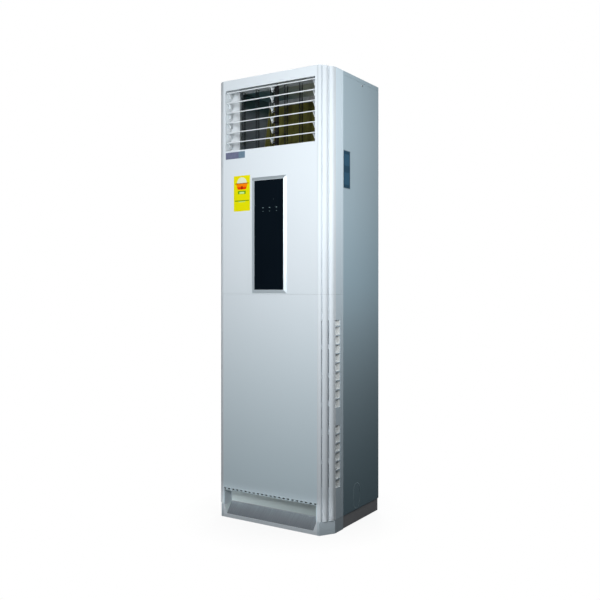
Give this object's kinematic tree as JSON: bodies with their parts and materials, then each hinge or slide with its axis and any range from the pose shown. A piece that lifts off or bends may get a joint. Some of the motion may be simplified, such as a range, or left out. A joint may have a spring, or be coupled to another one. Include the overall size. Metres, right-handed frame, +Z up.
{
  "type": "floor standing air conditioner indoor unit",
  "caption": "Tall rectangular cabinet air conditioner with beaded corner columns, louvred air outlet at the top, upright dark display panel and toe recess at the base.",
  "frame": {"origin": "middle of the footprint, on the floor", "axes": "+Z up, -Y out of the front, +X to the right of someone facing the front"},
  "size_m": [0.5492, 0.4156, 1.78],
  "materials": {
    "badge_plastic": "slate violet",
    "base_plastic": "satin light grey",
    "zinc_steel": "galvanised",
    "blower_plastic": "moulded grey",
    "screw_steel": "plated",
    "circuit_board": "solder mask",
    "silver_trim": "silver lacquer",
    "display_glass": "dark smoked gloss",
    "hose_plastic": "ribbed hose",
    "grey_foam": "grey foam",
    "gold_fins": "gold coated fins",
    "motor_grey": "dark grey enamel",
    "shaft_steel": "ground",
    "yellow_sticker": "printed film",
    "copper_tube": "drawn copper",
    "filter_plastic": "moulded frame and net",
    "cabinet_steel": "satin off-white powder coat",
    "louvre_plastic": "satin white",
    "vane_plastic": "matt black",
    "white_panel_plastic": "gloss white",
    "dark_component": "matt black",
    "blue_sticker": "printed film"
  },
  "bodies": {
    "cabinet": {"badge_plate": "badge_plastic", "base_plinth": "base_plastic", "base_tray": "zinc_steel", "blower_housing": "blower_plastic", "cabinet_screws": "screw_steel", "coil_baffle": "zinc_steel", "coil_end_plates": "zinc_steel", "control_board": "circuit_board", "control_box": "zinc_steel", "control_box_cover": "zinc_steel", "display_board": "circuit_board", "display_frame": "silver_trim", "display_glass": "display_glass", "drain_hose": "hose_plastic", "drain_pan": "grey_foam", "evaporator_fins": "gold_fins", "fan_motor": "motor_grey", "front_duct_wall": "grey_foam", "front_sticker": "yellow_sticker", "gas_pipe": "copper_tube", "inlet_ring": "blower_plastic", "left_duct_wall": "grey_foam", "left_side_panel": "cabinet_steel", "liquid_pipe": "copper_tube", "louvre_strut": "vane_plastic", "motor_bracket": "zinc_steel", "outlet_frame": "louvre_plastic", "partition_plate": "zinc_steel", "rear_insulation": "grey_foam", "rear_panel": "cabinet_steel", "return_bends": "copper_tube", "right_duct_wall": "grey_foam", "right_side_panel": "cabinet_steel", "run_capacitor": "dark_component", "side_sticker": "blue_sticker", "swing_motor": "motor_grey", "terminal_block": "dark_component", "toe_kick": "white_panel_plastic", "top_cover": "cabinet_steel", "top_insulation": "grey_foam", "upper_front_panel": "white_panel_plastic"},
    "lower_panel": {"lower_front_panel": "white_panel_plastic"},
    "filter_left": {"left_filter": "filter_plastic"},
    "filter_right": {"right_filter": "filter_plastic"},
    "blade_1": {"louvre_blade_1": "louvre_plastic"},
    "blade_2": {"louvre_blade_2": "louvre_plastic"},
    "blade_3": {"louvre_blade_3": "louvre_plastic"},
    "blade_4": {"louvre_blade_4": "louvre_plastic"},
    "blade_5": {"louvre_blade_5": "louvre_plastic"},
    "blade_6": {"louvre_blade_6": "louvre_plastic"},
    "blade_link": {"louvre_link": "louvre_plastic"},
    "vane_1": {"swing_vane_1": "vane_plastic"},
    "vane_2": {"swing_vane_2": "vane_plastic"},
    "vane_3": {"swing_vane_3": "vane_plastic"},
    "vane_4": {"swing_vane_4": "vane_plastic"},
    "vane_5": {"swing_vane_5": "vane_plastic"},
    "vane_6": {"swing_vane_6": "vane_plastic"},
    "vane_bar": {"vane_link": "vane_plastic"},
    "fan": {"fan_wheel": "blower_plastic", "fan_shaft": "shaft_steel"}
  },
  "joints": [
    {"name": "louvre_tilt_1", "type": "hinge", "parent": "cabinet", "child": "blade_1", "pos_m": [0, -0.1758, 1.717], "axis": [1, 0, 0], "range_deg": [-20, 20]},
    {"name": "louvre_tilt_2", "type": "hinge", "parent": "cabinet", "child": "blade_2", "pos_m": [0, -0.1758, 1.6762], "axis": [1, 0, 0], "range_deg": [-20, 20]},
    {"name": "louvre_tilt_3", "type": "hinge", "parent": "cabinet", "child": "blade_3", "pos_m": [0, -0.1758, 1.6354], "axis": [1, 0, 0], "range_deg": [-20, 20]},
    {"name": "louvre_tilt_4", "type": "hinge", "parent": "cabinet", "child": "blade_4", "pos_m": [0, -0.1758, 1.5946], "axis": [1, 0, 0], "range_deg": [-20, 20]},
    {"name": "louvre_tilt_5", "type": "hinge", "parent": "cabinet", "child": "blade_5", "pos_m": [0, -0.1758, 1.5538], "axis": [1, 0, 0], "range_deg": [-20, 20]},
    {"name": "louvre_tilt_6", "type": "hinge", "parent": "cabinet", "child": "blade_6", "pos_m": [0, -0.1758, 1.513], "axis": [1, 0, 0], "range_deg": [-20, 20]},
    {"name": "louvre_link_pivot", "type": "hinge", "parent": "blade_1", "child": "blade_link", "pos_m": [0.2025, -0.15705, 1.74116], "axis": [1, 0, 0], "range_deg": [-20, 20]},
    {"name": "vane_swing_1", "type": "hinge", "parent": "cabinet", "child": "vane_1", "pos_m": [-0.17825, -0.133, 1.619], "axis": [0, 0, 1], "range_deg": [-40, 40]},
    {"name": "vane_swing_2", "type": "hinge", "parent": "cabinet", "child": "vane_2", "pos_m": [-0.10695, -0.133, 1.619], "axis": [0, 0, 1], "range_deg": [-40, 40]},
    {"name": "vane_swing_3", "type": "hinge", "parent": "cabinet", "child": "vane_3", "pos_m": [-0.03565, -0.133, 1.619], "axis": [0, 0, 1], "range_deg": [-40, 40]},
    {"name": "vane_swing_4", "type": "hinge", "parent": "cabinet", "child": "vane_4", "pos_m": [0.03565, -0.133, 1.619], "axis": [0, 0, 1], "range_deg": [-40, 40]},
    {"name": "vane_swing_5", "type": "hinge", "parent": "cabinet", "child": "vane_5", "pos_m": [0.10695, -0.133, 1.619], "axis": [0, 0, 1], "range_deg": [-40, 40]},
    {"name": "vane_swing_6", "type": "hinge", "parent": "cabinet", "child": "vane_6", "pos_m": [0.17825, -0.133, 1.619], "axis": [0, 0, 1], "range_deg": [-40, 40]},
    {"name": "vane_bar_pivot", "type": "hinge", "parent": "vane_4", "child": "vane_bar", "pos_m": [0.03565, -0.125, 1.492], "axis": [0, 0, 1], "range_deg": [-40, 40]},
    {"name": "fan_spin", "type": "hinge", "parent": "cabinet", "child": "fan", "pos_m": [-0.025, -0.0098, 0.455], "axis": [0, 1, 0], "continuous": true},
    {"name": "lower_panel_pull", "type": "slide", "parent": "cabinet", "child": "lower_panel", "axis": [0, -1, 0], "range_m": [0, 0.12]},
    {"name": "left_filter_lift", "type": "slide", "parent": "lower_panel", "child": "filter_left", "axis": [0, 0, 1], "range_m": [0, 0.08]},
    {"name": "right_filter_lift", "type": "slide", "parent": "lower_panel", "child": "filter_right", "axis": [0, 0, 1], "range_m": [0, 0.08]}
  ],
  "couplings": [
    {"joint": "louvre_tilt_2", "follows": "louvre_tilt_1", "ratio": 1},
    {"joint": "louvre_tilt_3", "follows": "louvre_tilt_1", "ratio": 1},
    {"joint": "louvre_tilt_4", "follows": "louvre_tilt_1", "ratio": 1},
    {"joint": "louvre_tilt_5", "follows": "louvre_tilt_1", "ratio": 1},
    {"joint": "louvre_tilt_6", "follows": "louvre_tilt_1", "ratio": 1},
    {"joint": "louvre_link_pivot", "follows": "louvre_tilt_1", "ratio": -1},
    {"joint": "vane_swing_1", "follows": "vane_swing_4", "ratio": 1},
    {"joint": "vane_swing_2", "follows": "vane_swing_4", "ratio": 1},
    {"joint": "vane_swing_3", "follows": "vane_swing_4", "ratio": 1},
    {"joint": "vane_swing_5", "follows": "vane_swing_4", "ratio": 1},
    {"joint": "vane_swing_6", "follows": "vane_swing_4", "ratio": 1},
    {"joint": "vane_bar_pivot", "follows": "vane_swing_4", "ratio": -1}
  ]
}
